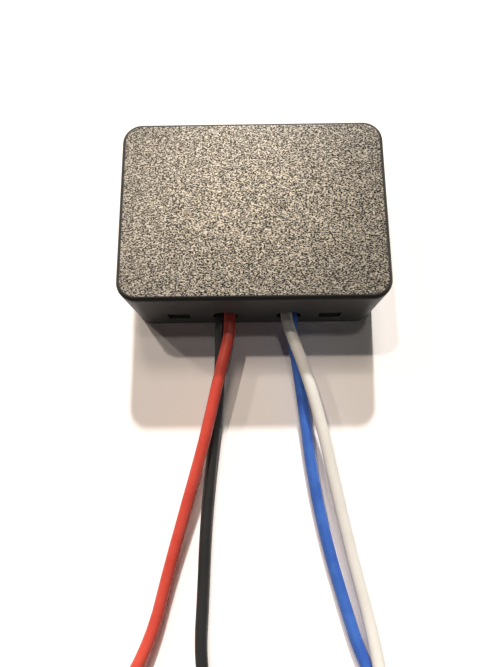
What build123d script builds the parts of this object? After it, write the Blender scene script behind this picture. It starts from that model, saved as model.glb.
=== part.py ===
from build123d import *
import math
import os

# A time delay relay in a small snap-together box. A moulded cover closes over a
# base plate and carries a circuit board with a relay, a timer chip and a delay
# trimmer. Two pairs of leads leave through round holes in the front wall.
# Millimetres, +Z up. The origin is the middle of the box's underside, X runs
# along the box and the leads leave towards -Y.

os.makedirs("parts", exist_ok=True)

# Case
case_length = 50.0
case_width = 35.5
case_height = 17.5
case_wall = 1.6
case_ceiling = 1.6
corner_radius = 3.8
top_edge_radius = 0.9
ceiling_radius = 0.6
case_fit = 0.2

# Snap windows and the tongues that catch in them
window_width = 4.4
window_height = 3.3
window_bottom = 4.2
window_spacing = 30.2
tongue_side_gap = 0.3
tongue_thickness = 1.1
tongue_root_radius = 0.6
tongue_tip = 0.6
barb_lip = 0.5
barb_ramp = 1.8
barb_reach = 1.2
catch_gap = 0.1

# Base plate
base_thickness = 1.2
base_chamfer = 0.3
rim_wall = 0.9
rim_height = 1.8
rim_relief = 0.4

# Wire holes and wire
wire_diameter = 2.3
wire_hole_radius = 2.5
wire_hole_height = 5.8
wire_hole_spacing = 12.7
wire_hole_shift = 0.5
wire_stack_radius = 1.22
conductor_radius = 0.6
strip_depth = 3.6
near_pad_depth = 6.45
far_pad_depth = 8.45
conductor_bend = 1.2
lead_length = 170.0
bare_length = 8.0
bare_curl_radius = 7.0

# Circuit board and its screws
board_end_gap = 1.6
board_side_gap = 2.15
board_thickness = 1.2
board_bottom = 2.2
board_corner = 1.5
screw_inset = 2.5
screw_hole_radius = 1.1
screw_shank_radius = 0.95
screw_head_radius = 1.7
screw_head_height = 0.8
screw_length = 5.0
screw_clearance = 0.05
boss_radius = 1.9
boss_taper = 0.3
boss_rib = 1.0
boss_rib_drop = 7.0
hole_clearance = 0.1
solder_height = 0.8
solder_spread = 0.3
solder_tip_share = 0.45

# Relay
relay_length = 15.5
relay_width = 10.5
relay_headroom = 1.2
relay_wall = 0.8
relay_edge_radius = 0.5
relay_fit = 0.1
relay_base_height = 1.6
yoke_width = 6.0
yoke_thickness = 1.0
yoke_back_gap = 0.55
yoke_reach = 7.4
contact_room = 3.7
yoke_tail = 0.9
yoke_bend_radius = 0.2
core_x = -1.9
core_radius = 1.25
pole_radius = 2.2
pole_thickness = 0.6
bobbin_wall = 0.4
flange_thickness = 0.55
flange_length = 6.6
flange_width = 7.4
flange_radius = 0.8
bobbin_clearance = 0.05
winding_radius = 3.1
coil_pin_side = 0.5
coil_pin_spacing = 7.8
coil_pin_top = 2.4
armature_thickness = 0.8
armature_length = 7.4
armature_nose = 1.6
armature_swing = 2.2
armature_gap = 0.05
spring_thickness = 0.2
spring_width = 3.0
spring_seat = 0.05
return_spring_gap = 0.2
return_spring_drop = 3.6
return_spring_length = 1.9
return_spring_bend = 0.3
contact_x = 4.6
contact_radius = 0.9
contact_height = 0.4
contact_gap = 0.05
terminal_thickness = 0.35
terminal_x = 6.1
terminal_width = 1.6
terminal_split = 0.2
terminal_arm = 3.8

# Timer chip
chip_length = 9.5
chip_width = 6.3
chip_height = 3.3
chip_stand = 0.4
chip_waist = 0.25
chip_notch_radius = 0.9
legs_per_side = 4
leg_pitch = 2.54
leg_rows = 7.9
leg_width = 0.5
leg_thickness = 0.3
leg_shoulder = 1.2

# Delay trimmer
trimmer_side = 6.6
trimmer_height = 4.4
trimmer_corner = 0.6
rotor_radius = 2.4
rotor_depth = 1.5
rotor_proud = 0.4
rotor_clearance = 0.05
rotor_floor_gap = 0.1
rotor_slot_width = 0.7
rotor_slot_depth = 0.8
rotor_stem_radius = 0.8
rotor_stem_length = 1.2
trimmer_pin_radius = 0.3
trimmer_pin_pitch = 2.5

# Capacitors, resistors, diode and transistor
timing_can = {"radius": 3.15, "pitch": 2.5}
smoothing_can = {"radius": 2.5, "pitch": 2.0}
can_headroom = 1.6
can_edge_radius = 0.5
can_groove_height = 1.5
can_groove_radius = 0.35
can_stand = 0.3
seal_height = 0.7
seal_inset = 0.45
thin_wire_radius = 0.25
axial_bend = 0.6
axial_lift = 0.2
diode = {"radius": 1.35, "length": 5.2, "pitch": 10.0}
resistor_radius = 1.15
resistor_waist = 0.85
resistor_length = 6.2
resistor_cap_length = 1.5
resistor_pitch = 8.0
transistor_radius = 2.3
transistor_flat = 1.3
transistor_height = 4.6
transistor_stand = 2.0
transistor_pitch = 1.27
disc_radius = 2.3
disc_thickness = 1.8
disc_edge_radius = 0.6
disc_stand = 1.2
disc_pitch = 2.5

# Put-away coils and their ties
coil_radii = (12.5, 10.9, 9.3)
layer_gap = 0.3
tie_thickness = 0.45
tie_width = 2.4
tie_clearance = 0.15
tie_head_length = 3.0
tie_head_width = 3.6
tie_head_height = 2.2
tie_head_radius = 0.5
tie_floor_gap = 0.05
tie_angle = 260
coil_lead_in = 6.0

# Share of the shorter neighbouring run that an arc of a lead's route takes up
arc_share = 0.45

# Sizes that follow from the ones above
inner_length = case_length - 2 * case_wall
inner_width = case_width - 2 * case_wall
inner_height = case_height - case_ceiling
inner_radius = corner_radius - case_wall
front_wall = -case_width / 2
window_middle = case_width / 2 - case_wall / 2
board_top = board_bottom + board_thickness
board_length = inner_length - 2 * board_end_gap
board_width = inner_width - 2 * board_side_gap
wire_radius = wire_diameter / 2
strip_line = front_wall + case_wall + strip_depth
screw_x = board_length / 2 - screw_inset
screw_y = board_width / 2 - screw_inset
screw_places = [(x, y) for x in (-screw_x, screw_x) for y in (-screw_y, screw_y)]
relay_height = inner_height - board_top - relay_headroom
yoke_top = relay_height - contact_room
can_height = inner_height - board_top - can_stand - can_headroom
low_layer = tie_floor_gap + tie_thickness + tie_clearance + wire_radius
high_layer = low_layer + wire_diameter + layer_gap


def board_place(along, across):
    # A place on the board, as shares of its length and width from its middle
    return along * board_length, across * board_width


relay_x, relay_y = board_place(-0.2, 0.155)
chip_x, chip_y = board_place(0.183, 0.014)
trimmer_x, trimmer_y = board_place(0.149, 0.332)
timing_can["place"] = board_place(0.33, 0.271)
smoothing_can["place"] = board_place(0.394, -0.029)
diode["place"] = board_place(-0.257, -0.15)
resistor_places = [board_place(*share) for share in ((-0.307, -0.279), (0.303, -0.221), (0.303, -0.321))]
transistor_x, transistor_y = board_place(0.014, -0.164)
disc_x, disc_y = board_place(-0.014, 0.425)

# Each pair of leads is wound as two rings, one lying on the other, round one
# centre. The centres and the routes below say how far in front of the case
# they lie, as the second number.
pairs = {
    "left": {"hole": wire_hole_shift - wire_hole_spacing / 2, "centre": (-17.0, 82.75)},
    "right": {"hole": wire_hole_shift + wire_hole_spacing / 2, "centre": (12.0, 80.75)},
}

# Each lead: its pair, its place in the hole as an angle, its solder pad, the
# points of its free route, and how it enters and winds its coil.
# A turn of 1 winds anticlockwise seen from above, and -1 clockwise.
leads = {
    "red": {
        "pair": "left",
        "stack": 40,
        "pad": far_pad_depth,
        "route": [
            (-4.93, 4.05, 6.58),
            (-6.9, 11.75, 6.55),
            (-9.6, 23.75, 5.5),
            (-13.3, 36.25, 3.85),
            (-16.9, 48.25, 2.6),
            (-20, 59.75, 2.3),
        ],
        "layer": high_layer,
        "entry": 157,
        "turn": 1,
    },
    "black": {
        "pair": "left",
        "stack": 220,
        "pad": near_pad_depth,
        "route": [
            (-6.78, 3.2, 5.02),
            (-6.9, 8.65, 3.7),
            (-7.6, 18.05, 2.55),
            (-9, 30.25, 1.6),
            (-9.9, 41.75, 1.22),
            (-10.2, 52.25, 1.2),
            (-10.7, 62.75, 1.25),
        ],
        "layer": low_layer,
        "entry": 25,
        "turn": -1,
    },
    "white": {
        "pair": "right",
        "stack": 125,
        "pad": far_pad_depth,
        "route": [
            (6.15, 3.65, 6.8),
            (8.8, 10.45, 6.75),
            (12.2, 21.75, 5.8),
            (14.8, 33.75, 4.3),
            (17.7, 46.75, 2.9),
            (20.8, 58.75, 2.4),
        ],
        "layer": high_layer,
        "entry": 14,
        "turn": -1,
    },
    "blue": {
        "pair": "right",
        "stack": 305,
        "pad": near_pad_depth,
        "route": [
            (7.55, 3.2, 4.8),
            (8.1, 8.85, 3.6),
            (9.5, 18.25, 2.5),
            (10.9, 30.75, 1.6),
            (13.1, 42.75, 1.22),
            (16, 53.75, 1.2),
            (18.6, 62.75, 1.25),
        ],
        "layer": low_layer,
        "entry": 14,
        "turn": -1,
    },
}


stands = (Align.CENTER, Align.CENTER, Align.MIN)


def save(name, *solids):
    shape = solids[0] if len(solids) == 1 else Compound(list(solids))
    shape.label = name
    export_step(shape, f"parts/{name}.step")


def block(length, width, height, x=0.0, y=0.0, z=0.0):
    # A box that stands on z with its middle at x and y
    return Pos(x, y, z) * Box(length, width, height, align=stands)


def span(x_range, y_range, z_range):
    # A box between two corners
    lengths = [abs(b - a) for a, b in (x_range, y_range, z_range)]
    return Pos(min(x_range), min(y_range), min(z_range)) * Box(*lengths, align=Align.MIN)


def rounded_block(length, width, height, radius, x=0.0, y=0.0, z=0.0):
    return Pos(x, y, z) * extrude(RectangleRounded(length, width, radius), height)


def post(radius, height, x=0.0, y=0.0, z=0.0):
    return Pos(x, y, z) * Cylinder(radius, height, align=stands)


def tube(path, radius):
    return sweep(Plane(path @ 0, z_dir=path % 0) * Circle(radius), path=path)


def turned(points, x=0.0, y=0.0, z=0.0):
    # A solid of revolution about a vertical axis, from an outline of radius and height
    outline = make_face(Plane.XZ * Polyline(*points, close=True))
    return Pos(x, y, z) * revolve(outline, Axis.Z)


def wire_drop(x, y, z, x_hole, bottom):
    # A thin wire that runs level from a body's end, then bends down to the board
    points = [(x, y, z), (x_hole, y, z), (x_hole, y, bottom)]
    return tube(FilletPolyline(*points, radius=axial_bend), thin_wire_radius)


# Every wire or pin through the board is noted here with its radius, and the
# board's holes and the solder joints are made from this list
through_board = []


def note_pin(x, y, radius):
    through_board.append((x, y, radius))


# The case


def make_cover():
    shell = rounded_block(case_length, case_width, case_height, corner_radius)
    shell = fillet(shell.faces().sort_by(Axis.Z)[-1].edges(), top_edge_radius)
    hollow = rounded_block(inner_length, inner_width, inner_height, inner_radius)
    hollow = fillet(hollow.faces().sort_by(Axis.Z)[-1].edges(), ceiling_radius)
    cover = shell - hollow

    boss_height = inner_height - board_top
    rib_bottom = inner_height - boss_rib_drop
    for x, y in screw_places:
        cone = Cone(boss_radius, boss_radius + boss_taper, boss_height, align=stands)
        end_wall = math.copysign(inner_length / 2 + case_wall / 2, x)
        side_wall = math.copysign(inner_width / 2 + case_wall / 2, y)
        half_rib = boss_rib / 2
        heights = (rib_bottom, inner_height + case_ceiling / 2)
        cover += Pos(x, y, board_top) * cone
        cover += span((x, end_wall), (y - half_rib, y + half_rib), heights)
        cover += span((x - half_rib, x + half_rib), (y, side_wall), heights)
        cover -= post(screw_shank_radius + screw_clearance, screw_length, x, y, board_top)

    for side in (-1, 1):
        for x in (-window_spacing / 2, window_spacing / 2):
            window = block(window_width, 2 * case_wall, window_height, x, 0, window_bottom)
            cover -= Pos(0, side * window_middle, 0) * window
    for pair in pairs.values():
        hole = Rot(90, 0, 0) * Cylinder(wire_hole_radius, 2 * case_wall)
        cover -= Pos(pair["hole"], -window_middle, wire_hole_height) * hole
    return cover


def make_base_plate():
    length = inner_length - 2 * case_fit
    width = inner_width - 2 * case_fit
    radius = inner_radius - case_fit
    plate = rounded_block(length, width, base_thickness, radius)
    plate = chamfer(plate.faces().sort_by(Axis.Z)[0].edges(), base_chamfer)
    rim = rounded_block(length, width, rim_height, radius, z=base_thickness)
    rim_length = length - 2 * rim_wall
    rim_width = width - 2 * rim_wall
    rim -= rounded_block(rim_length, rim_width, rim_height, radius - rim_wall, z=base_thickness)
    gap = window_width + 2 * rim_relief
    for x in (-window_spacing / 2, window_spacing / 2):
        rim -= block(gap, case_width, rim_height, x, 0, base_thickness)
    return plate + rim


def make_tongue(x):
    # The rear tongue at x: a strip with a rounded root and a barb that faces out
    outer = inner_width / 2 - case_fit
    inner = outer - tongue_thickness
    catch = window_bottom + catch_gap
    tip = catch + barb_lip + barb_ramp
    root = base_thickness + tongue_root_radius
    outline = Polyline(
        (inner, root),
        (inner, tip + tongue_tip),
        (outer, tip + tongue_tip),
        (outer, tip),
        (outer + barb_reach, catch + barb_lip),
        (outer + barb_reach, catch),
        (outer, catch),
        (outer, base_thickness),
        (inner - tongue_root_radius, base_thickness),
    )
    root_curve = RadiusArc(
        (inner - tongue_root_radius, base_thickness), (inner, root), -tongue_root_radius
    )
    face = Plane.YZ * make_face([outline, root_curve])
    width = window_width - 2 * tongue_side_gap
    return Pos(x - width / 2, 0, 0) * extrude(face, width, dir=(1, 0, 0))


def make_case():
    save("cover", make_cover())
    save("base_plate", make_base_plate())
    rear = [make_tongue(x) for x in (-window_spacing / 2, window_spacing / 2)]
    save("rear_snap_tongues", *rear)
    save("front_snap_tongues", *[mirror(tongue, about=Plane.XZ) for tongue in rear])


# The relay, built about its own middle with the board's top as its zero height


def on_board(shape):
    return Pos(relay_x, relay_y, board_top) * shape


relay_inner_length = relay_length - 2 * relay_wall
relay_inner_width = relay_width - 2 * relay_wall
relay_inner_height = relay_height - relay_wall
yoke_back = -relay_inner_length / 2 + yoke_back_gap
yoke_foot_top = relay_base_height + yoke_thickness
flange_bottom = yoke_foot_top + bobbin_clearance
flange_top = yoke_top - pole_thickness - bobbin_clearance
armature_bottom = yoke_top + armature_gap
spring_bottom = armature_bottom + armature_thickness + spring_seat
spring_top = spring_bottom + spring_thickness
pivot = Axis((yoke_back, 0, armature_bottom), (0, 1, 0))
pin_bottom = -board_thickness


def swung_open(shape):
    # The armature's pieces are drawn closed, and rest open by the swing angle
    return shape.rotate(pivot, -armature_swing)


def rise(x, z):
    # The height that a point at x and z has when the armature rests open
    angle = math.radians(armature_swing)
    return armature_bottom + (x - yoke_back) * math.sin(angle) + (z - armature_bottom) * math.cos(angle)


def make_relay_case():
    cap = rounded_block(relay_length, relay_width, relay_height, relay_edge_radius)
    cap = fillet(cap.faces().sort_by(Axis.Z)[-1].edges(), relay_edge_radius - relay_fit)
    cap -= block(relay_inner_length, relay_inner_width, relay_inner_height)
    length = relay_inner_length - 2 * relay_fit
    width = relay_inner_width - 2 * relay_fit
    base = block(length, width, relay_base_height)
    return cap, base


def make_relay_magnet():
    across = (-yoke_width / 2, yoke_width / 2)
    inner_face = yoke_back + yoke_thickness
    yoke = span((yoke_back, inner_face), across, (relay_base_height, yoke_top))
    yoke += span((yoke_back, yoke_back + yoke_reach), across, (relay_base_height, yoke_foot_top))
    bend = Vector(inner_face, 0, yoke_foot_top)
    inside = yoke.edges().filter_by(Axis.Y).sort_by(lambda edge: (edge.center() - bend).length)[0]
    yoke = fillet(inside, yoke_bend_radius)
    tail_x = (yoke_back, yoke_back + yoke_tail)
    yoke += span(tail_x, (-yoke_tail / 2, yoke_tail / 2), (pin_bottom, relay_base_height))

    core = post(core_radius, yoke_top - yoke_foot_top, core_x, 0, yoke_foot_top)
    core += post(pole_radius, pole_thickness, core_x, 0, yoke_top - pole_thickness)

    barrel_radius = core_radius + bobbin_clearance + bobbin_wall
    bobbin = post(barrel_radius, flange_top - flange_bottom, core_x, 0, flange_bottom)
    for z in (flange_bottom, flange_top - flange_thickness):
        bobbin += rounded_block(
            flange_length, flange_width, flange_thickness, flange_radius, core_x, 0, z
        )
    bobbin -= post(core_radius + bobbin_clearance, relay_height, core_x, 0, 0)

    winding_height = flange_top - flange_bottom - 2 * flange_thickness
    winding_z = flange_bottom + flange_thickness
    winding = post(winding_radius, winding_height, core_x, 0, winding_z)
    winding -= post(barrel_radius, winding_height, core_x, 0, winding_z)
    return yoke, core, bobbin, winding


def make_armature():
    nose = yoke_back + armature_length
    outline = Polyline(
        (yoke_back, -yoke_width / 2),
        (nose - armature_nose, -yoke_width / 2),
        (nose, -spring_width / 2),
        (nose, spring_width / 2),
        (nose - armature_nose, yoke_width / 2),
        (yoke_back, yoke_width / 2),
        close=True,
    )
    plate = extrude(make_face(outline), armature_thickness)
    plate = Pos(0, 0, armature_bottom) * plate
    leaf_x = (yoke_back + return_spring_length, contact_x + contact_radius)
    leaf = span(leaf_x, (-spring_width / 2, spring_width / 2), (spring_bottom, spring_top))
    tip = leaf.faces().sort_by(Axis.X)[-1].edges().filter_by(Axis.Z)
    leaf = fillet(tip, contact_radius)
    leaf -= post(contact_radius / 2, relay_height, contact_x)
    rivets = post(contact_radius / 2, spring_thickness, contact_x, 0, spring_bottom)
    rivets += post(contact_radius, contact_height, contact_x, 0, spring_top)
    rivets += post(contact_radius, contact_height, contact_x, 0, spring_bottom - contact_height)
    return swung_open(plate), swung_open(leaf), swung_open(rivets)


def make_return_spring():
    # A strip down the yoke's back that bends over onto the armature
    half = spring_thickness / 2
    back = yoke_back - return_spring_gap - half
    over = yoke_back + return_spring_length - spring_seat
    top = rise(over, spring_bottom + half)
    corner = rise(back, spring_bottom + half)
    line = FilletPolyline(
        (back, 0, armature_bottom - return_spring_drop),
        (back, 0, corner),
        (over, 0, top),
        radius=return_spring_bend,
    )
    strip = Plane(line @ 0, x_dir=(0, 1, 0), z_dir=line % 0) * Rectangle(spring_width, spring_thickness)
    return sweep(strip, path=line)


def make_fixed_contact(side, contact_face, facing):
    # A terminal strip with an arm and a contact: side is the Y side its leg
    # stands on, and facing is 1 for a contact that looks up, -1 for down
    button_z = contact_face - contact_height if facing > 0 else contact_face
    arm_z = button_z - terminal_thickness if facing > 0 else button_z + contact_height
    leg_near = side * (contact_radius + terminal_split / 2)
    leg_far = leg_near + side * terminal_width
    leg_x = (terminal_x, terminal_x + terminal_thickness)
    terminal = span(leg_x, (leg_near, leg_far), (pin_bottom, arm_z + terminal_thickness))
    arm_near = -side * (contact_radius - terminal_split / 2)
    arm_x = (terminal_arm, terminal_x + terminal_thickness)
    terminal += span(arm_x, (arm_near, leg_far), (arm_z, arm_z + terminal_thickness))
    return terminal + post(contact_radius - terminal_split, contact_height, contact_x, 0, button_z)


def make_relay():
    cap, base = make_relay_case()
    yoke, core, bobbin, winding = make_relay_magnet()
    plate, leaf, rivets = make_armature()
    open_face = spring_bottom - contact_height - contact_gap
    closed_face = rise(contact_x + contact_radius, spring_top + contact_height) + contact_gap
    open_contact = make_fixed_contact(-1, open_face, 1)
    closed_contact = make_fixed_contact(1, closed_face, -1)
    coil_pins = [
        block(coil_pin_side, coil_pin_side, coil_pin_top - pin_bottom, core_x, y, pin_bottom)
        for y in (-coil_pin_spacing / 2, coil_pin_spacing / 2)
    ]

    # Each pin leaves a slot in the base, and a round hole in the board
    slot = 2 * hole_clearance
    leg_middle = contact_radius + terminal_split / 2 + terminal_width / 2
    leg_x = terminal_x + terminal_thickness / 2
    tail_x = yoke_back + yoke_tail / 2
    pins = [(core_x, pin.center().Y, coil_pin_side, coil_pin_side) for pin in coil_pins]
    pins += [(leg_x, side * leg_middle, terminal_thickness, terminal_width) for side in (-1, 1)]
    pins += [(tail_x, 0, yoke_tail, yoke_tail)]
    for x, y, length, width in pins:
        base -= block(length + slot, width + slot, relay_base_height, x, y)
        note_pin(relay_x + x, relay_y + y, math.hypot(length, width) / 2)

    save("relay_cap", on_board(cap))
    save("relay_base", on_board(base))
    save("relay_yoke", on_board(yoke))
    save("relay_core", on_board(core))
    save("relay_bobbin", on_board(bobbin))
    save("relay_winding", on_board(winding))
    save("relay_coil_pins", *[on_board(pin) for pin in coil_pins])
    save("relay_open_contact", on_board(open_contact))
    save("relay_closed_contact", on_board(closed_contact))
    save("relay_armature", on_board(plate))
    save("relay_contact_spring", on_board(leaf))
    save("relay_moving_contact", on_board(rivets))
    save("relay_return_spring", on_board(make_return_spring()))


# The timer chip, with its moulded waist and a notch at one end


def make_chip():
    z = board_top + chip_stand
    middle = chip_height / 2
    waist = chip_waist
    low = loft([
        Pos(0, 0, 0) * Rectangle(chip_length - 2 * waist, chip_width - 2 * waist),
        Pos(0, 0, middle) * Rectangle(chip_length, chip_width),
    ])
    high = loft([
        Pos(0, 0, middle) * Rectangle(chip_length, chip_width),
        Pos(0, 0, chip_height) * Rectangle(chip_length - 2 * waist, chip_width - 2 * waist),
    ])
    body = low + high
    notch_x = -chip_length / 2 + waist
    body -= post(chip_notch_radius, waist * 2, notch_x, 0, chip_height - waist * 2)
    save("timer_chip", Pos(chip_x, chip_y, z) * body)

    legs = []
    for side in (-1, 1):
        for step in range(legs_per_side):
            x = chip_x + (step - (legs_per_side - 1) / 2) * leg_pitch
            outer = chip_y + side * (leg_rows / 2 + leg_thickness / 2)
            inner = outer - side * leg_thickness
            root = chip_y + side * chip_width / 2
            shoulder_z = z + middle
            half = leg_shoulder / 2
            leg = span((x - half, x + half), (root, outer), (shoulder_z - leg_thickness, shoulder_z))
            leg += span((x - half, x + half), (inner, outer), (board_top, shoulder_z))
            leg += span((x - leg_width / 2, x + leg_width / 2), (inner, outer), (board_bottom, board_top))
            legs.append(leg)
            note_pin(x, (inner + outer) / 2, math.hypot(leg_width, leg_thickness) / 2)
    save("timer_chip_legs", *legs)


# The delay trimmer: a square body with a round pocket, and a slotted rotor


def make_trimmer():
    pocket = rotor_radius + rotor_clearance
    pocket_floor = trimmer_height - rotor_depth
    rotor_bottom = pocket_floor + rotor_floor_gap
    body = rounded_block(trimmer_side, trimmer_side, trimmer_height, trimmer_corner)
    body -= post(pocket, rotor_depth, 0, 0, pocket_floor)
    stem_bore = rotor_stem_radius + rotor_clearance
    body -= post(stem_bore, rotor_stem_length, 0, 0, pocket_floor - rotor_stem_length)
    rotor_top = trimmer_height + rotor_proud
    stem_bottom = rotor_bottom - rotor_stem_length + rotor_clearance
    rotor = turned([
        (0, stem_bottom),
        (rotor_stem_radius, stem_bottom),
        (rotor_stem_radius, rotor_bottom),
        (rotor_radius, rotor_bottom),
        (rotor_radius, trimmer_height),
        (rotor_radius - rotor_proud, rotor_top),
        (0, rotor_top),
    ])
    slot_floor = rotor_top - rotor_slot_depth
    rotor -= block(2 * rotor_radius, rotor_slot_width, rotor_slot_depth, z=slot_floor)
    place = Pos(trimmer_x, trimmer_y, board_top)
    save("trimmer_body", place * body)
    save("trimmer_rotor", place * rotor)

    pitch = trimmer_pin_pitch
    pins = []
    for dx, dy in ((-pitch, -pitch), (0, pitch), (pitch, -pitch)):
        x = trimmer_x + dx
        y = trimmer_y + dy
        pins.append(post(trimmer_pin_radius, board_thickness, x, y, board_bottom))
        note_pin(x, y, trimmer_pin_radius)
    save("trimmer_pins", *pins)


# Electrolytic capacitors: a can with a rolled groove, a rubber seal and two wires


def make_can(can):
    radius = can["radius"]
    x, middle = can["place"]
    z = board_top + can_stand
    body = post(radius, can_height)
    body = fillet(body.edges().sort_by(Axis.Z)[-1], can_edge_radius)
    ring = Pos(radius, 0, can_groove_height) * Rot(90, 0, 0) * Circle(can_groove_radius)
    body -= revolve(ring, Axis.Z)
    body -= post(radius - seal_inset, seal_height)
    seal = post(radius - seal_inset, seal_height)
    wires = []
    for side in (-1, 1):
        y = middle + side * can["pitch"] / 2
        wires.append(post(thin_wire_radius, z - board_bottom, x, y, board_bottom))
        note_pin(x, y, thin_wire_radius)
    place = Pos(x, middle, z)
    return place * body, place * seal, wires


def make_capacitors():
    timing, timing_seal, timing_wires = make_can(timing_can)
    smoothing, smoothing_seal, smoothing_wires = make_can(smoothing_can)
    save("timing_capacitor", timing)
    save("smoothing_capacitor", smoothing)
    save("capacitor_seals", timing_seal, smoothing_seal)
    save("capacitor_leads", *timing_wires, *smoothing_wires)

    z = board_top + disc_stand + disc_radius
    disc = Rot(90, 0, 0) * Cylinder(disc_radius, disc_thickness)
    disc = fillet(disc.edges().filter_by(GeomType.CIRCLE), disc_edge_radius)
    save("ceramic_capacitor", Pos(disc_x, disc_y, z) * disc)
    wires = []
    for side in (-1, 1):
        x = side * disc_pitch / 2
        drop = disc_radius - math.sqrt(disc_radius**2 - (abs(x) + thin_wire_radius) ** 2)
        height = disc_stand + drop + board_thickness
        wire = post(thin_wire_radius, height + disc_edge_radius, disc_x + x, disc_y, board_bottom)
        wires.append(wire - Pos(disc_x, disc_y, z) * disc)
        note_pin(disc_x + x, disc_y, thin_wire_radius)
    save("ceramic_capacitor_leads", *wires)


# Parts that lie along X on the board, each with two bent wires


def axial_wires(x, y, z, length, pitch):
    wires = []
    for side in (-1, 1):
        hole = x + side * pitch / 2
        wires.append(wire_drop(x + side * length / 2, y, z, hole, board_bottom))
        note_pin(hole, y, thin_wire_radius)
    return wires


def make_axial_parts():
    z = board_top + axial_lift + diode["radius"]
    lying = Rot(0, 90, 0)
    body = lying * Cylinder(diode["radius"], diode["length"])
    body = chamfer(body.edges().filter_by(GeomType.CIRCLE), axial_lift)
    x, y = diode["place"]
    save("flyback_diode", Pos(x, y, z) * body)
    save("diode_leads", *axial_wires(x, y, z, diode["length"], diode["pitch"]))

    half = resistor_length / 2
    shoulder = half - resistor_cap_length
    outline = [
        (0, -half),
        (resistor_waist, -half),
        (resistor_radius, -half + axial_lift),
        (resistor_radius, -shoulder),
        (resistor_waist, -shoulder + axial_lift),
        (resistor_waist, shoulder - axial_lift),
        (resistor_radius, shoulder),
        (resistor_radius, half - axial_lift),
        (resistor_waist, half),
        (0, half),
    ]
    z = board_top + axial_lift + resistor_radius
    bodies = []
    wires = []
    for x, y in resistor_places:
        bodies.append(Pos(x, y, z) * lying * turned(outline))
        wires += axial_wires(x, y, z, resistor_length, resistor_pitch)
    save("resistors", *bodies)
    save("resistor_leads", *wires)


def make_transistor():
    z = board_top + transistor_stand
    radius = transistor_radius
    body = post(radius, transistor_height)
    body -= span((-radius, radius), (-radius, -transistor_flat), (0, transistor_height))
    save("transistor", Pos(transistor_x, transistor_y, z) * body)
    legs = []
    for step in (-1, 0, 1):
        x = transistor_x + step * transistor_pitch
        legs.append(post(thin_wire_radius, z - board_bottom, x, transistor_y, board_bottom))
        note_pin(x, transistor_y, thin_wire_radius)
    save("transistor_legs", *legs)


# The leads: inner ends, free stretches, coils, bare ends and ties


def on_ring(centre, radius, angle, z):
    turn = math.radians(angle)
    return Vector(centre.X + radius * math.cos(turn), centre.Y + radius * math.sin(turn), z)


def exit_point(lead):
    angle = math.radians(lead["stack"])
    x = pairs[lead["pair"]]["hole"] + wire_stack_radius * math.cos(angle)
    z = wire_hole_height + wire_stack_radius * math.sin(angle)
    return ahead(x, 0, z)


def ahead(x, distance, z=0.0):
    # A point in front of the case
    return Vector(x, front_wall - distance, z)


def winding_start(lead):
    # The point where the first turn's arc starts, and the direction there
    centre = ahead(*pairs[lead["pair"]]["centre"])
    start = on_ring(centre, coil_radii[0], lead["entry"], lead["layer"])
    heading = math.radians(lead["entry"] + 90 * lead["turn"])
    return start, Vector(math.cos(heading), math.sin(heading), 0)


def free_points(lead):
    start, heading = winding_start(lead)
    end = start - heading * wire_diameter
    route = [ahead(*point) for point in lead["route"]]
    return [exit_point(lead), *route, end - heading * coil_lead_in, end]


def free_path(name, points):
    # Straight runs joined by arcs, each as large as its two runs allow
    radii = []
    for before, corner, after in zip(points, points[1:], points[2:]):
        turn = math.radians((corner - before).get_angle(after - corner))
        shorter = min((corner - before).length, (after - corner).length)
        radii.append(arc_share * shorter / math.tan(turn / 2))
    print(name, "arc radii", [round(radius, 1) for radius in radii])
    return FilletPolyline(*points, radius=radii)


def coil_path(lead, last_angle):
    # Straight for one diameter, a wide half turn, a narrower one, a last arc
    # and one diameter straight, each arc running into the next
    turn = lead["turn"]
    z = lead["layer"]
    centre = ahead(*pairs[lead["pair"]]["centre"])
    start, heading = winding_start(lead)
    edges = [Line(start - heading * wire_diameter, start)]
    angle = lead["entry"]
    for radius, tighter, sweep_angle in (
        (coil_radii[0], coil_radii[1], 180),
        (coil_radii[1], coil_radii[2], 180),
        (coil_radii[2], coil_radii[2], last_angle),
    ):
        ends = [angle + turn * sweep_angle * share for share in (0, 0.5, 1)]
        edges.append(ThreePointArc(*[on_ring(centre, radius, at, z) for at in ends]))
        angle = ends[-1]
        inward = math.radians(angle)
        centre += Vector(math.cos(inward), math.sin(inward)) * (radius - tighter)
    last = edges[-1]
    edges.append(Line(last @ 1, last @ 1 + (last % 1) * wire_diameter))
    return Wire(edges), angle


def bare_path(start, angle, turn):
    # The bare end curls in a little more than the coil's last arc
    radius = bare_curl_radius
    inward = math.radians(angle)
    centre = start - Vector(math.cos(inward), math.sin(inward)) * radius
    sweep_angle = math.degrees(bare_length / radius)
    ends = [angle + turn * sweep_angle * share for share in (0, 0.5, 1)]
    return ThreePointArc(*[on_ring(centre, radius, at, start.Z) for at in ends])


def least_gap(path):
    # The least clear distance between turns, measured on points along the path
    count = 240
    points = [path.position_at(step / count) for step in range(count + 1)]
    apart = math.ceil(3 * wire_diameter * count / path.length)
    nearest = min((a - b).length for i, a in enumerate(points) for b in points[i + apart:])
    return nearest - wire_diameter


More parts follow.
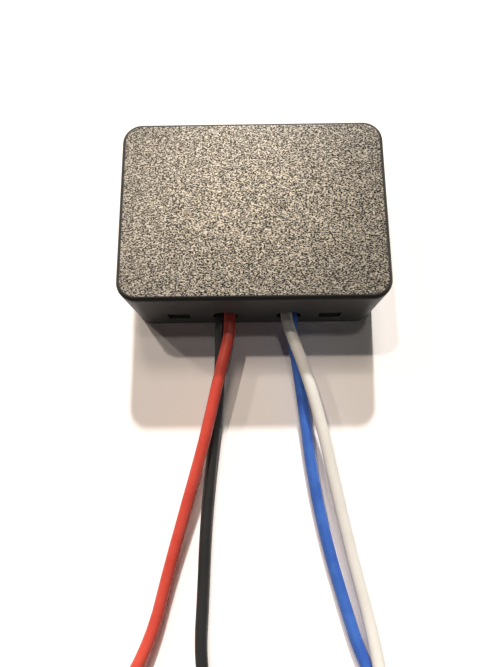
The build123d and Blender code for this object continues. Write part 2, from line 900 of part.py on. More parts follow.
def make_lead(name, lead):
    exit_at = exit_point(lead)
    inner = Rot(90, 0, 0) * Cylinder(wire_radius, strip_line - front_wall)
    save(f"{name}_inner_lead", Pos(exit_at.X, (strip_line + front_wall) / 2, exit_at.Z) * inner)

    path = free_path(name, free_points(lead))
    stretch = tube(path, wire_radius)
    share = stretch.volume / (math.pi * wire_radius**2 * path.length)
    print(name, "free length", round(path.length, 2), "volume share", round(share, 4))
    save(f"{name}_lead", stretch)

    turns = math.pi * (coil_radii[0] + coil_radii[1]) + 2 * wire_diameter
    rest = lead_length - bare_length - path.length - turns
    wound, angle = coil_path(lead, math.degrees(rest / coil_radii[2]))
    print(name, "coil length", round(wound.length, 2), "least gap to itself", round(least_gap(wound), 2))
    save(f"{name}_coil", tube(wound, wire_radius))
    save(f"{name}_bare_end", tube(bare_path(wound @ 1, angle, lead["turn"]), conductor_radius))

    x, z = exit_at.X, exit_at.Z
    pad = front_wall + lead["pad"]
    note_pin(x, pad, conductor_radius)
    points = [(x, strip_line, z), (x, pad, z), (x, pad, board_bottom)]
    return tube(FilletPolyline(*points, radius=conductor_bend), conductor_radius)


def make_tie(pair):
    # A strap round the two rings at their far side, with its head outside,
    # drawn along X at the origin and then turned to its place on the ring
    middle = (low_layer + high_layer) / 2
    inner_span = wire_diameter + 2 * tie_clearance
    inner_rise = high_layer - low_layer + wire_diameter + 2 * tie_clearance
    corner = inner_span / 2 - tie_clearance
    grow = 2 * tie_thickness
    outer = RectangleRounded(inner_span + grow, inner_rise + grow, corner + tie_thickness)
    strap = extrude(outer - RectangleRounded(inner_span, inner_rise, corner), tie_width / 2, both=True)
    strap = Rot(0, 0, 90) * Rot(90, 0, 0) * strap
    head = block(tie_head_length, tie_head_height, tie_head_width)
    head = fillet(head.edges().filter_by(Axis.Z), tie_head_radius)
    head_y = tie_clearance - inner_span / 2 - tie_thickness - tie_head_height / 2
    tie = strap + Pos(0, head_y, -tie_head_width / 2) * head
    place = on_ring(ahead(*pair["centre"]), coil_radii[0], tie_angle, middle)
    return Pos(place) * Rot(0, 0, tie_angle + 90) * tie


def make_leads():
    save("lead_conductors", *[make_lead(name, lead) for name, lead in leads.items()])
    for side, pair in pairs.items():
        save(f"{side}_coil_tie", make_tie(pair))


# The board, its screws and its solder joints, made last from the noted pins


def make_board():
    board = rounded_block(board_length, board_width, board_thickness, board_corner, z=board_bottom)
    screws = []
    for x, y in screw_places:
        board -= post(screw_hole_radius, board_thickness, x, y, board_bottom)
        shank = post(screw_shank_radius, screw_length, x, y, board_bottom)
        head = post(screw_head_radius, screw_head_height, x, y, board_bottom - screw_head_height)
        head = fillet(head.edges().sort_by(Axis.Z)[0], screw_head_height / 2)
        screws.append(shank + head)
    joints = []
    for x, y, radius in through_board:
        board -= post(radius + hole_clearance, board_thickness, x, y, board_bottom)
        wide = radius + solder_spread
        joint = Cone(wide * solder_tip_share, wide, solder_height, align=stands)
        joints.append(Pos(x, y, board_bottom - solder_height) * joint)
    save("circuit_board", board)
    save("board_screws", *screws)
    save("solder_joints", *joints)


make_case()
make_relay()
make_chip()
make_trimmer()
make_capacitors()
make_axial_parts()
make_transistor()
make_leads()
make_board()
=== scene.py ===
import math
import bpy
import bmesh
from mathutils import Matrix, Vector


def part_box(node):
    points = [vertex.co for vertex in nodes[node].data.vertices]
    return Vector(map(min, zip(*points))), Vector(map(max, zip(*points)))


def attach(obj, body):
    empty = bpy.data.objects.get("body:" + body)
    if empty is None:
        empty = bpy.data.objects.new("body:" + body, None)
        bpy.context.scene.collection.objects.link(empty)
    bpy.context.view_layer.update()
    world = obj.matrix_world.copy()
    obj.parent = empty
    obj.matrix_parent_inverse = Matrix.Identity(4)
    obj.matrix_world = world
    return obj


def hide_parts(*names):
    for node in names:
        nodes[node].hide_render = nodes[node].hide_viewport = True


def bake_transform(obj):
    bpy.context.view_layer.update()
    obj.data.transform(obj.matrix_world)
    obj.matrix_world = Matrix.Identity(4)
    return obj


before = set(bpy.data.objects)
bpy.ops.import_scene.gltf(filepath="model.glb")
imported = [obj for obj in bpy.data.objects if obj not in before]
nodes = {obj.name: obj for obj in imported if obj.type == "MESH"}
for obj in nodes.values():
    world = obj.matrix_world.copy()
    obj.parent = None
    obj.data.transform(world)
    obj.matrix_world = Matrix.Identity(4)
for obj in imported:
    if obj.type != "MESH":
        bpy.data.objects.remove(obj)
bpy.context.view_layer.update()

# A small black time delay relay box with two pairs of leads, on a white table.
# Metres, +Z up, X along the box, the leads leave towards -Y.

mm = 0.001


# Camera

cameraSettings = {
    "place": (-0.19 * mm, -41.80 * mm, 100.32 * mm),
    "pitch": 0.2127,      # away from straight down, in radians
    "yaw": 0.03512,
    "roll": -0.04548,
    "focalPixels": 485,
    "frameHeight": 667,
    "sensor": 36.0,
    "clipStart": 2 * mm,
}


def makeCamera():
    s = cameraSettings
    cameraData = bpy.data.cameras.new("photoCamera")
    cameraData.sensor_fit = "AUTO"
    cameraData.sensor_width = s["sensor"]
    cameraData.lens = s["focalPixels"] / s["frameHeight"] * s["sensor"]
    cameraData.clip_start = s["clipStart"]
    camera = bpy.data.objects.new("photoCamera", cameraData)
    bpy.context.scene.collection.objects.link(camera)
    turn = Matrix.Rotation(s["yaw"], 3, "Z") @ Matrix.Rotation(s["pitch"], 3, "X")
    turn = turn @ Matrix.Rotation(s["roll"], 3, "Z")
    camera.matrix_world = Matrix.Translation(s["place"]) @ turn.to_4x4()
    bpy.context.scene.camera = camera


makeCamera()
print("camera placed")


# Leads. Each runs from inside the case, out of its hole, along the table and into a
# put-away ring, and ends in bare strands.

frontWall = -17.75 * mm
leadSettings = {
    "wireDiameter": 2.3 * mm,
    "conductorRadius": 0.6 * mm,
    "insideWall": 5.2 * mm,       # where the line starts, behind the front wall
    "cutEdge": 0.14 * mm,         # the broken edge of the cut insulation
    "ringRadii": (12.5 * mm, 10.9 * mm, 9.3 * mm),
    "pointsPerTurn": 16,
    "ringLeadIn": 6.0 * mm,
    "outsideLength": 170.0 * mm,
    "bareLength": 8.0 * mm,
    "bareRadius": 7.0 * mm,
    "barePoints": 3,
    "strands": 6,
    "strandLay": 9.0 * mm,        # length of one twist
    "strandsHidden": 1.5 * mm,    # how far they reach into the insulation
}

# In mm. Ring centres are x and distance in front of the case, and route points have
# their height as well. The layers are the heights of the two rings of a pair.
ringCentres = {"left": (-17.0, 82.75), "right": (12.0, 80.75)}
lowLayer = 1.8
highLayer = 4.4

# exit is x and height at the front wall, entry the angle where the lead meets its
# ring, in degrees, turn 1 for anticlockwise from above, lastArc the innermost arc
leads = {
    "red": {
        "pair": "left", "exit": (-4.915, 6.584), "layer": highLayer, "entry": 157, "turn": 1,
        "lastArc": 4.12,
        "route": [
            (-4.93, 4.05, 6.58), (-6.9, 11.75, 6.55), (-9.6, 23.75, 5.5),
            (-13.2, 36.25, 3.85), (-16.6, 48.25, 2.6), (-19.4, 59.75, 2.3),
        ],
    },
    "black": {
        "pair": "left", "exit": (-6.785, 5.016), "layer": lowLayer, "entry": 25, "turn": -1,
        "lastArc": 7.42,
        "route": [
            (-6.78, 3.2, 5.02), (-6.9, 8.65, 3.7), (-7.6, 18.05, 2.55), (-9.0, 30.25, 1.6),
            (-9.9, 41.75, 1.22), (-10.2, 52.25, 1.2), (-10.7, 62.75, 1.25),
        ],
    },
    "white": {
        "pair": "right", "exit": (6.150, 6.799), "layer": highLayer, "entry": 14, "turn": -1,
        "lastArc": 5.89,
        "route": [
            (7.0, 3.65, 7.0), (9.6, 10.45, 6.75), (12.7, 21.75, 5.8),
            (15.1, 33.75, 4.3), (17.9, 46.75, 2.9), (20.8, 58.75, 2.4),
        ],
    },
    "blue": {
        "pair": "right", "exit": (7.550, 4.801), "layer": lowLayer, "entry": 14, "turn": -1,
        "lastArc": 6.05,
        "route": [
            (7.55, 3.2, 4.5), (8.4, 8.85, 3.5), (9.65, 18.25, 2.5), (10.9, 30.75, 1.6),
            (13.1, 42.75, 1.22), (16.0, 53.75, 1.2), (18.6, 62.75, 1.25),
        ],
    },
}


def outward(angle):
    return Vector((math.cos(angle), math.sin(angle), 0))


def arcCorners(centre, radius, angle, turn, step, count):
    # Points a little outside an arc, so that the spline runs on it
    reach = radius / math.cos(step / 2)
    return [centre + outward(angle + turn * (k + 0.5) * step) * reach for k in range(count)]


def routePoints(lead):
    s = leadSettings
    radii = s["ringRadii"]
    turn = lead["turn"]
    height = lead["layer"] * mm
    across, ahead = ringCentres[lead["pair"]]
    centre = Vector((across * mm, frontWall - ahead * mm, height))
    angle = math.radians(lead["entry"])
    heading = outward(angle + turn * math.pi / 2)
    ringIn = centre + outward(angle) * radii[0] - heading * s["wireDiameter"]
    exitX, exitZ = (value * mm for value in lead["exit"])
    points = [Vector((exitX, frontWall + s["insideWall"], exitZ)), Vector((exitX, frontWall, exitZ))]
    points += [Vector((x * mm, frontWall - y * mm, z * mm)) for x, y, z in lead["route"]]
    points += [ringIn - heading * s["ringLeadIn"], ringIn]

    halfCount = s["pointsPerTurn"] // 2
    arcs = [
        (radii[0], radii[1], math.pi, halfCount),
        (radii[1], radii[2], math.pi, halfCount),
        (radii[2], radii[2], lead["lastArc"] * mm / radii[2], 2),
    ]
    for radius, nextRadius, sweep, count in arcs:
        points += arcCorners(centre, radius, angle, turn, sweep / count, count)
        angle += turn * sweep
        centre = centre + outward(angle) * (radius - nextRadius)
    tip = centre + outward(angle) * radii[2]
    tip += outward(angle + turn * math.pi / 2) * s["wireDiameter"]
    centre = tip - outward(angle) * s["bareRadius"]
    sweep = s["bareLength"] / s["bareRadius"]
    count = s["barePoints"]
    points += arcCorners(centre, s["bareRadius"], angle, turn, sweep / count, count)
    points.append(centre + outward(angle + turn * sweep) * s["bareRadius"])
    return points


def newCurve(name, resolution):
    curve = bpy.data.curves.new(name, "CURVE")
    curve.dimensions = "3D"
    curve.resolution_u = resolution
    holder = bpy.data.objects.new(name, curve)
    bpy.context.scene.collection.objects.link(holder)
    return holder, curve


def addLine(curve, points):
    spline = curve.splines.new("NURBS")
    spline.points.add(len(points) - 1)
    for point, place in zip(spline.points, points):
        point.co = (*place, 1.0)
    spline.order_u = 3
    spline.use_endpoint_u = True


def meshOf(holder):
    bpy.context.view_layer.update()
    return bpy.data.meshes.new_from_object(holder.evaluated_get(bpy.context.evaluated_depsgraph_get()))


def welded(mesh):
    bm = bmesh.new()
    bm.from_mesh(mesh)
    bmesh.ops.remove_doubles(bm, verts=bm.verts[:], dist=1e-7)
    return bm


def linked(items, kind):
    # What some items of a mesh link to, once each and in the same order on every run
    return list(dict.fromkeys(other for item in items for other in getattr(item, kind)))


def finishMesh(name, bm, smoothAngle=35):
    bmesh.ops.recalc_face_normals(bm, faces=bm.faces[:])
    mesh = bpy.data.meshes.new(name)
    bm.to_mesh(mesh)
    bm.free()
    mesh.shade_smooth()
    mesh.set_sharp_from_angle(angle=math.radians(smoothAngle))
    piece = bpy.data.objects.new(name, mesh)
    bpy.context.scene.collection.objects.link(piece)
    return piece


def lengthsAlong(path):
    lengths = [0.0]
    for a, b in zip(path, path[1:]):
        lengths.append(lengths[-1] + (b - a).length)
    return lengths


def makeInsulation(name, holder, share):
    # The tube along the first part of the route, the edges of its two ends broken by a
    # small bevel
    s = leadSettings
    curve = holder.data
    curve.bevel_depth = s["wireDiameter"] / 2
    curve.bevel_resolution = 7
    curve.use_fill_caps = True
    curve.bevel_factor_mapping_end = "SPLINE"
    curve.bevel_factor_end = share
    bm = welded(meshOf(holder))
    caps = [face for face in bm.faces if len(face.verts) > 4]
    rims = linked(caps, "edges")
    bmesh.ops.bevel(
        bm, geom=rims, offset=s["cutEdge"], segments=2, affect="EDGES", profile=0.5, material=-1
    )
    return finishMesh(name + "Insulation", bm, 50)


def makeStrands(name, path):
    # Six strands laid round one, from just inside the insulation to the tip
    s = leadSettings
    strandRadius = s["conductorRadius"] / 3
    lengths = lengthsAlong(path)
    first = lengths[-1] - s["bareLength"] - s["strandsHidden"]
    holder, curve = newCurve(name + "StrandLines", 2)
    curve.bevel_depth = strandRadius
    curve.bevel_resolution = 2
    curve.use_fill_caps = True
    for strand in range(s["strands"] + 1):
        offset = 0 if strand == s["strands"] else s["conductorRadius"] - strandRadius
        start = 2 * math.pi * strand / s["strands"]
        places = []
        for at, (a, b) in zip(lengths, zip(path, path[1:])):
            if at < first:
                continue
            side = (b - a).normalized().cross(Vector((0, 0, 1)))
            twist = start + 2 * math.pi * at / s["strandLay"]
            places.append(a + (side * math.cos(twist) + Vector((0, 0, math.sin(twist)))) * offset)
        addLine(curve, places)
    bm = welded(meshOf(holder))
    bpy.data.objects.remove(holder)
    return finishMesh(name + "Strands", bm, 50)


def makeLead(name, lead):
    s = leadSettings
    holder, curve = newCurve(name + "Route", 12)
    addLine(curve, routePoints(lead))
    path = [vertex.co.copy() for vertex in meshOf(holder).vertices]
    lengths = lengthsAlong(path)
    covered = lengths[-1] - s["bareLength"]
    insulation = makeInsulation(name, holder, covered / lengths[-1])
    strands = makeStrands(name, path)
    bpy.data.objects.remove(holder)
    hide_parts(f"{name}_inner_lead", f"{name}_lead", f"{name}_coil")
    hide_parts(f"{name}_bare_end")
    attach(strands, "base")
    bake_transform(insulation)
    print(name, "lead", round(lengths[-1] / mm, 1), "mm along its line")
    return insulation, strands


leadPieces = {name: makeLead(name, lead) for name, lead in leads.items()}


# Ties. Each is drawn with its strap round the two wires in the YZ plane, its width
# along X and its head at -Y, then turned and set on the outer turns of its pair.

tieSettings = {
    "ringAngle": 260,
    "innerSpan": 2.6 * mm,
    "innerRise": 5.2 * mm,
    "innerCorner": 1.15 * mm,
    "strapThickness": 0.45 * mm,
    "strapWidth": 2.4 * mm,
    "strapEdge": 0.10 * mm,
    "squareRim": 1.2,             # radians: sharper edges than this are the strap's rims
    "head": (3.0 * mm, 2.2 * mm, 3.6 * mm),
    "headEdge": 0.32 * mm,
    "headOverlap": 0.15 * mm,     # how far it is set into the strap
    "slotInset": 0.12 * mm,
    "slotDepth": 0.9 * mm,
    "tailWidth": 1.9 * mm,
    "tailThickness": 0.5 * mm,
    "tailLength": 4.4 * mm,       # from inside the head
    "tailRise": 2.2 * mm,         # how far it stands out of the head
    "tailTaper": 0.7,             # its tip's width, as a share
    "teeth": 9,
    "toothDepth": 0.14 * mm,
}


def addStrap(bm):
    s = tieSettings
    loop = bmesh.ops.create_grid(bm, x_segments=1, y_segments=1, size=0.5)["verts"]
    bmesh.ops.scale(bm, vec=(s["innerSpan"], s["innerRise"], 1), verts=loop)
    upright = Matrix(((0, 0, 1), (1, 0, 0), (0, 1, 0)))
    bmesh.ops.rotate(bm, matrix=upright, verts=loop)
    bmesh.ops.translate(bm, vec=(-s["strapWidth"] / 2, 0, 0), verts=loop)
    bmesh.ops.bevel(
        bm, geom=loop, offset=s["innerCorner"], segments=8, affect="VERTICES", profile=0.5, material=-1
    )
    bmesh.ops.delete(bm, geom=bm.faces[:], context="FACES_ONLY")
    wall = bmesh.ops.extrude_edge_only(bm, edges=bm.edges[:])["geom"]
    moved = [item for item in wall if isinstance(item, bmesh.types.BMVert)]
    bmesh.ops.translate(bm, vec=(s["strapWidth"], 0, 0), verts=moved)
    bmesh.ops.recalc_face_normals(bm, faces=bm.faces[:])
    bmesh.ops.solidify(bm, geom=bm.faces[:], thickness=-s["strapThickness"])
    rims = [edge for edge in bm.edges if abs(edge.verts[0].co.x) == abs(edge.verts[1].co.x)
            and len(edge.link_faces) == 2 and edge.calc_face_angle() > s["squareRim"]]
    bmesh.ops.bevel(
        bm, geom=rims, offset=s["strapEdge"], segments=2, affect="EDGES", profile=0.5, material=-1
    )


def addHead(bm):
    s = tieSettings
    headPlace = -(s["innerSpan"] / 2 + s["strapThickness"] + s["head"][1] / 2 - s["headOverlap"])
    head = bmesh.ops.create_cube(bm, size=1)["verts"]
    bmesh.ops.scale(bm, vec=s["head"], verts=head)
    bmesh.ops.translate(bm, vec=(0, headPlace, 0), verts=head)
    edges = linked(head, "link_edges")
    rounded = bmesh.ops.bevel(
        bm, geom=edges, offset=s["headEdge"], segments=3, affect="EDGES", profile=0.5, material=-1
    )
    flats = linked(rounded["verts"], "link_faces")
    for side in (1, -1):
        flat = max(flats, key=lambda face: face.calc_area() if face.normal.z * side > 0.99 else 0)
        bmesh.ops.inset_individual(bm, faces=[flat], thickness=s["slotInset"])
        sunk = bmesh.ops.extrude_discrete_faces(bm, faces=[flat])["faces"]
        flats.remove(flat)
        bmesh.ops.translate(bm, vec=(0, 0, -side * s["slotDepth"]), verts=linked(sunk, "verts"))
    return headPlace


def addTail(bm, headPlace):
    # A flat tongue that comes up out of the head, with its row of teeth
    s = tieSettings
    rows = 2 * s["teeth"]
    tail = bmesh.ops.create_grid(bm, x_segments=1, y_segments=rows, size=0.5)["verts"]
    bmesh.ops.scale(bm, vec=(s["tailWidth"], s["tailLength"], 1), verts=tail)
    for vert in tail:
        row = round((vert.co.y / s["tailLength"] + 0.5) * rows)
        vert.co.z += s["toothDepth"] if row % 2 else 0
        if row == rows:
            vert.co.x *= s["tailTaper"]
    bmesh.ops.rotate(bm, matrix=Matrix.Rotation(math.pi / 2, 3, "X"), verts=tail)
    top = s["head"][2] / 2 + s["tailRise"]
    bmesh.ops.translate(bm, vec=(0, headPlace, top - s["tailLength"] / 2), verts=tail)
    bmesh.ops.solidify(bm, geom=linked(tail, "link_faces"), thickness=s["tailThickness"])


def makeTie(side):
    s = tieSettings
    bm = bmesh.new()
    addStrap(bm)
    addTail(bm, addHead(bm))
    across, ahead = ringCentres[side]
    centre = Vector((across * mm, frontWall - ahead * mm, (lowLayer + highLayer) / 2 * mm))
    angle = math.radians(s["ringAngle"])
    place = centre + outward(angle) * leadSettings["ringRadii"][0]
    turned = Matrix.Translation(place) @ Matrix.Rotation(angle + math.pi / 2, 4, "Z")
    bmesh.ops.transform(bm, matrix=turned, verts=bm.verts[:])
    tie = finishMesh(side + "CoilTie", bm)
    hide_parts(f"{side}_coil_tie")
    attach(tie, "base")
    return tie


ties = [makeTie(side) for side in ringCentres]
print("ties made")


# Board tracks: flat copper strips under the solder mask on both faces of the board.
# A strip runs along its line in mm and joins the pads of the CAD's solder joints.

trackSettings = {
    "thickness": 0.08 * mm,
    "sunk": 0.04 * mm,            # how deep the first strip is set into the board's face
    "step": 0.002 * mm,           # each next strip stands this much higher, so none are level
    "signalWidth": 0.5,
    "supplyWidth": 1.0,
    "switchedWidth": 1.6,
    "viaRadius": 0.75 * mm,
    "viaCorners": 20,
}
underTracks = [
    ("supplyWidth", [(-4.92, -9.3), (-4.92, -5.49), (-6.21, -4.2), (-10.62, 0.21), (-10.62, 0.44)]),
    ("supplyWidth", [
        (-6.78, -11.3), (-5.18, -12.9), (15.4, -12.9), (18.6, -9.7), (18.6, -1.2), (17.18, 0.19),
    ]),
    ("signalWidth", [(1.88, -4.59), (1.88, -12.9)]),
    ("signalWidth", [(-0.66, -4.59), (-0.66, 7.6), (-1.66, 8.6), (-9.9, 8.6), (-10.62, 8.24)]),
    ("signalWidth", [
        (-16.21, -4.2), (-17.2, -3.2), (-17.2, 6.4), (-15.36, 8.24), (-10.62, 8.24),
    ]),
    ("supplyWidth", [(-4.92, -9.3), (-7.9, -9.3), (-9.39, -7.81)]),
    ("signalWidth", [
        (-17.39, -7.81), (-18.9, -6.3), (-18.9, 8.6), (-16.6, 10.9), (-2.86, 10.9), (-1.86, 11.9),
    ]),
    ("signalWidth", [(0.61, -4.59), (0.61, -3.3), (1.41, -2.5), (3.11, -2.5), (4.17, -3.56)]),
    ("signalWidth", [(4.17, 4.34), (2.2, 6.3), (2.2, 10.34), (0.64, 11.9)]),
    ("signalWidth", [(6.71, 4.34), (4.25, 6.8), (4.0, 6.8)]),
    ("signalWidth", [(9.25, 4.34), (9.0, 4.6), (9.0, 6.8)]),
    ("signalWidth", [(6.5, 11.8), (11.43, 11.8), (14.39, 8.84)]),
    ("signalWidth", [(11.79, 4.34), (13.79, 6.34), (14.39, 6.34)]),
    ("signalWidth", [(6.71, -3.56), (9.21, -6.06), (9.21, -6.19)]),
    ("signalWidth", [(11.79, -3.56), (13.54, -1.81), (17.18, -1.81)]),
    ("signalWidth", [(17.21, -8.99), (17.21, -6.19)]),
    ("switchedWidth", [(-3.6, -1.4), (-3.6, 1.39), (-2.45, 2.54)]),
    ("switchedWidth", [(-13.4, -1.8), (-13.4, 3.07), (-14.67, 4.34)]),
]
upperTracks = [
    ("switchedWidth", [(6.15, -9.3), (4.85, -8.0), (-2.2, -8.0), (-3.6, -6.6), (-3.6, -1.4)]),
    ("switchedWidth", [(7.55, -11.3), (6.15, -12.7), (-12.0, -12.7), (-13.4, -11.3), (-13.4, -1.8)]),
]
vias = [(-3.6, -1.4), (-13.4, -1.8)]


def addTrack(bm, line, width, height):
    # A grid one square wide, each of its rows moved to a point of the line, square to
    # it and stretched at its bends
    last = len(line) - 1
    points = [Vector((x * mm, y * mm, height)) for x, y in line]
    ways = [(b - a).normalized() for a, b in zip(points, points[1:])]
    strip = bmesh.ops.create_grid(bm, x_segments=last, y_segments=1, size=1)["verts"]
    for vert in strip:
        row = round((vert.co.x + 1) / 2 * last)
        before, after = ways[max(row - 1, 0)], ways[min(row, last - 1)]
        square = (before + after).normalized().cross(Vector((0, 0, 1)))
        reach = width * mm / 2 / math.sqrt((1 + before.dot(after)) / 2)
        vert.co = points[row] - square * vert.co.y * reach
    return linked(strip, "link_faces")


def makeTracks():
    s = trackSettings
    low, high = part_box("circuit_board")
    bm = bmesh.new()
    for side, tracks, face in ((-1, underTracks, low.z), (1, upperTracks, high.z)):
        height = face - side * s["sunk"]
        faces = []
        for width, line in tracks:
            faces += addTrack(bm, line, s[width], height)
            height += side * s["step"]
        for x, y in vias:
            ring = bmesh.ops.create_circle(
                bm, cap_ends=True, segments=s["viaCorners"], radius=s["viaRadius"]
            )["verts"]
            bmesh.ops.translate(bm, vec=(x * mm, y * mm, height), verts=ring)
            faces += linked(ring, "link_faces")
        raised = bmesh.ops.extrude_face_region(bm, geom=faces, use_keep_orig=True)["geom"]
        raised = [item for item in raised if isinstance(item, bmesh.types.BMVert)]
        bmesh.ops.translate(bm, vec=(0, 0, side * s["thickness"]), verts=raised)
    tracks = finishMesh("boardTracks", bm)
    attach(tracks, "cover")
    return tracks


tracks = makeTracks()
print("board tracks made")


# Shader nodes. feed joins results to the sockets they are named for, and each other
# helper adds to a tree and gives back what it puts out.


def addNode(tree, kind, inputs=None, **settings):
    node = tree.nodes.new("ShaderNode" + kind)
    for key, value in settings.items():
        setattr(node, key, value)
    for key, value in (inputs or {}).items():
        if isinstance(value, bpy.types.NodeSocket):
            tree.links.new(value, node.inputs[key])
        else:
            node.inputs[key].default_value = value
    return node


def feed(tree, sockets, results):
    for name, result in results.items():
        tree.links.new(result, sockets[name])


def calculate(tree, operation, first, second=0.0):
    return addNode(tree, "Math", {0: first, 1: second}, operation=operation).outputs[0]


def sizeOf(tree, value):
    return calculate(tree, "ABSOLUTE", value)


def product(tree, first, *others):
    for other in others:
        first = calculate(tree, "MULTIPLY", first, other)
    return first


def noiseOf(tree, place, scale, detail=2.0, roughness=0.5, distortion=0.0):
    inputs = {
        "Vector": place, "Scale": scale, "Detail": detail,
        "Roughness": roughness, "Distortion": distortion,
    }
    return addNode(tree, "TexNoise", inputs).outputs[0]


def rangeOf(tree, value, low, high, toLow=0.0, toHigh=1.0):
    inputs = {0: value, 1: low, 2: high, 3: toLow, 4: toHigh}
    return addNode(tree, "MapRange", inputs, interpolation_type="SMOOTHSTEP").outputs[0]


def fade(tree, share, atNone, atFull):
    return rangeOf(tree, share, 0.0, 1.0, atNone, atFull)


def mixColours(tree, factor, first, second):
    inputs = {0: factor}
    for key, colour in ((6, first), (7, second)):
        inputs[key] = colour if isinstance(colour, bpy.types.NodeSocket) else (*colour, 1)
    return addNode(tree, "Mix", inputs, data_type="RGBA").outputs[2]


def axesOf(tree, vector):
    return addNode(tree, "SeparateXYZ", {0: vector}).outputs


def stretched(tree, place, factors):
    return addNode(tree, "VectorMath", {0: place, 1: factors}, operation="MULTIPLY").outputs[0]


def fromPoint(tree, place, point):
    return addNode(tree, "VectorMath", {0: place, 1: point}, operation="SUBTRACT").outputs[0]


def lengthOf(tree, vector):
    return addNode(tree, "VectorMath", {0: vector}, operation="LENGTH").outputs["Value"]


# Effects that several finishes share, each a node group built once


def newGroup(name, values, results):
    group = bpy.data.node_groups.new(name, "ShaderNodeTree")
    sockets = group.interface
    sockets.new_socket(name="Vector", in_out="INPUT", socket_type="NodeSocketVector")
    for socket, value in values.items():
        made = sockets.new_socket(name=socket, in_out="INPUT", socket_type="NodeSocketFloat")
        made.default_value = value
    for socket in results:
        sockets.new_socket(name=socket, in_out="OUTPUT", socket_type="NodeSocketFloat")
    given = group.nodes.new("NodeGroupInput").outputs
    wanted = group.nodes.new("NodeGroupOutput").inputs
    return group, given, wanted


# In these settings and those of the materials, a pair of numbers is where a value
# starts to count and where it counts in full. A pair of roughnesses is for a surface
# that is less and more handled.

grainShape = {
    "stretch": (1.0, 1.6, 1.0),   # the worms lie along X
    "swirl": 0.9,
    "ridge": (0.13, 0.0),
    "pitFineness": 1.7,
    "pits": (0.3, 0.7),
    "tops": (-0.15, 1.1),
}


def makeMouldGrain():
    # The pebbled skin that a spark-eroded mould leaves: short raised worms that run
    # into each other, and a mask of their rubbed tops
    s = grainShape
    group, given, wanted = newGroup("mouldGrain", {"Scale": 3000.0}, ("Height", "Tops"))
    place = stretched(group, given["Vector"], s["stretch"])
    swirl = noiseOf(group, place, given["Scale"], 0.0, 0.5, s["swirl"])
    ridge = rangeOf(group, sizeOf(group, calculate(group, "SUBTRACT", swirl, 0.5)), *s["ridge"])
    pits = noiseOf(group, place, product(group, given["Scale"], s["pitFineness"]), 0.0)
    height = calculate(group, "ADD", ridge, rangeOf(group, pits, *s["pits"], -0.5, 0.5))
    feed(group, wanted, {"Height": height, "Tops": rangeOf(group, height, *s["tops"])})
    return group


handlingShape = {
    "patches": (0.32, 0.68),
    "alongX": (0.05, 1.0, 0.3),   # how the noise is stretched for each way of scratches
    "alongY": (1.0, 0.06, 0.3),
    "scratches": (0.68, 0.78),
}


def makeHandling():
    # Slow patches of more and less polish, and the hair scratches in them
    s = handlingShape
    values = {"Patch Scale": 120.0, "Scratch Scale": 2500.0}
    group, given, wanted = newGroup("handling", values, ("Patches", "Scratches"))
    patches = noiseOf(group, given["Vector"], given["Patch Scale"], 4.0, 0.6, 0.4)
    patches = rangeOf(group, patches, *s["patches"])
    alongX, alongY = [
        noiseOf(group, stretched(group, given["Vector"], s[way]), given["Scratch Scale"], 1.0)
        for way in ("alongX", "alongY")
    ]
    scratches = rangeOf(group, calculate(group, "MAXIMUM", alongX, alongY), *s["scratches"])
    feed(group, wanted, {"Patches": patches, "Scratches": product(group, scratches, patches)})
    return group


rubShape = {
    "corner": (0.995, 0.9),
    "spotScale": 900.0,
    "spots": (0.35, 0.6),
}


def makeEdgeRub():
    # How near a point is to an outer or inner edge, from the difference between its
    # normal and the normal rounded over a radius
    s = rubShape
    group, given, wanted = newGroup("edgeRub", {"Radius": 0.2 * mm}, ("Edge",))
    rounded = addNode(group, "Bevel", {"Radius": given["Radius"]}, samples=6).outputs[0]
    flat = addNode(group, "NewGeometry").outputs["Normal"]
    match = addNode(group, "VectorMath", {0: rounded, 1: flat}, operation="DOT_PRODUCT").outputs["Value"]
    spots = noiseOf(group, given["Vector"], s["spotScale"], 3.0, 0.6)
    edge = product(group, rangeOf(group, match, *s["corner"]), rangeOf(group, spots, *s["spots"]))
    feed(group, wanted, {"Edge": edge})
    return group


groups = {"mouldGrain": makeMouldGrain(), "handling": makeHandling(), "edgeRub": makeEdgeRub()}


def useGroup(tree, name, inputs):
    return addNode(tree, "Group", inputs, node_tree=groups[name]).outputs


# Materials


def newMaterial(name, fixed):
    material = bpy.data.materials.new(name)
    material.use_nodes = True
    tree = material.node_tree
    tree.nodes.clear()
    shader = addNode(tree, "BsdfPrincipled", fixed)
    addNode(tree, "OutputMaterial", {"Surface": shader.outputs[0]})
    return material, tree, shader.inputs


def bumpOf(tree, height, distance):
    return addNode(tree, "Bump", {"Height": height, "Distance": distance}).outputs[0]


